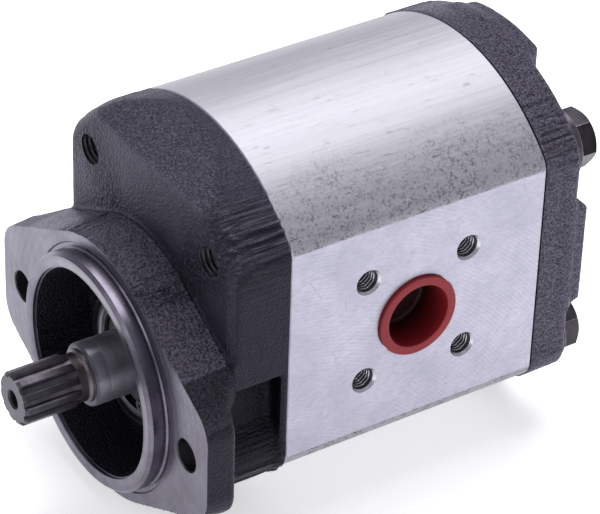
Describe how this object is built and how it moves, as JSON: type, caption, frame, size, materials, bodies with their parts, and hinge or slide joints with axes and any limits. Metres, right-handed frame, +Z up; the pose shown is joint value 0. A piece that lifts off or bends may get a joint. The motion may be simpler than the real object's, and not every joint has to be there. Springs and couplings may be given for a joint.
{
  "type": "hydraulic gear pump",
  "caption": "External gear pump: cast-iron front cover with two-bolt flange, pilot and splined shaft, aluminium body with plugged side ports, cast-iron rear cover and tie bolts.",
  "frame": {"origin": "where the drive shaft's axis meets the mounting face of the flange, in the middle of the pilot", "axes": "+Y along the drive shaft into the pump, towards the rear cover; the splined end points along -Y; +Z from the drive gear to the idler gear; +X out of the port that faces right when seen from the shaft end with +Z up"},
  "size_m": [0.1318, 0.1946, 0.1338],
  "materials": {
    "front_cover_iron": "sand-cast, dark, granular; pilot and flange faces machined",
    "rear_cover_iron": "sand-cast, dark, granular",
    "body_aluminium": "extruded and scuffed on the domes, milled on the flat sides",
    "block_aluminium": "machined",
    "shaft_steel": "ground seal collar, dark splines",
    "idler_steel": "ground",
    "bolt_steel": "plain steel, worn",
    "washer_steel": "plain steel",
    "dowel_steel": "ground",
    "ring_steel": "dark spring steel",
    "bush_bronze": "bronze-backed plain bearing",
    "seal_rubber": "matt black rubber",
    "strip_plastic": "off-white polymer",
    "plug_plastic": "soft red moulded plastic"
  },
  "bodies": {
    "housing": {"front_backup_strip": "strip_plastic", "front_bearing_block": "block_aluminium", "front_body_seal": "seal_rubber", "front_cover": "front_cover_iron", "front_drive_bush": "bush_bronze", "front_idler_bush": "bush_bronze", "front_left_dowel": "dowel_steel", "front_pressure_seal": "seal_rubber", "front_right_dowel": "dowel_steel", "left_port_plug": "plug_plastic", "lower_left_tie_bolt": "bolt_steel", "lower_left_washer": "washer_steel", "lower_right_tie_bolt": "bolt_steel", "lower_right_washer": "washer_steel", "pump_body": "body_aluminium", "rear_backup_strip": "strip_plastic", "rear_bearing_block": "block_aluminium", "rear_body_seal": "seal_rubber", "rear_cover": "rear_cover_iron", "rear_drive_bush": "bush_bronze", "rear_idler_bush": "bush_bronze", "rear_left_dowel": "dowel_steel", "rear_pressure_seal": "seal_rubber", "rear_right_dowel": "dowel_steel", "right_port_plug": "plug_plastic", "shaft_seal": "seal_rubber", "snap_ring": "ring_steel", "upper_left_tie_bolt": "bolt_steel", "upper_left_washer": "washer_steel", "upper_right_tie_bolt": "bolt_steel", "upper_right_washer": "washer_steel"},
    "drive_rotor": {"drive_gear_shaft": "shaft_steel"},
    "idler_rotor": {"idler_gear_shaft": "idler_steel"}
  },
  "joints": [
    {"name": "drive_spin", "type": "hinge", "parent": "housing", "child": "drive_rotor", "pos_m": [0, 0.08815, 0], "axis": [0, 1, 0], "continuous": true},
    {"name": "idler_spin", "type": "hinge", "parent": "housing", "child": "idler_rotor", "pos_m": [0, 0.08815, 0.0426], "axis": [0, 1, 0], "continuous": true}
  ],
  "couplings": [
    {"joint": "idler_spin", "follows": "drive_spin", "ratio": -1}
  ]
}
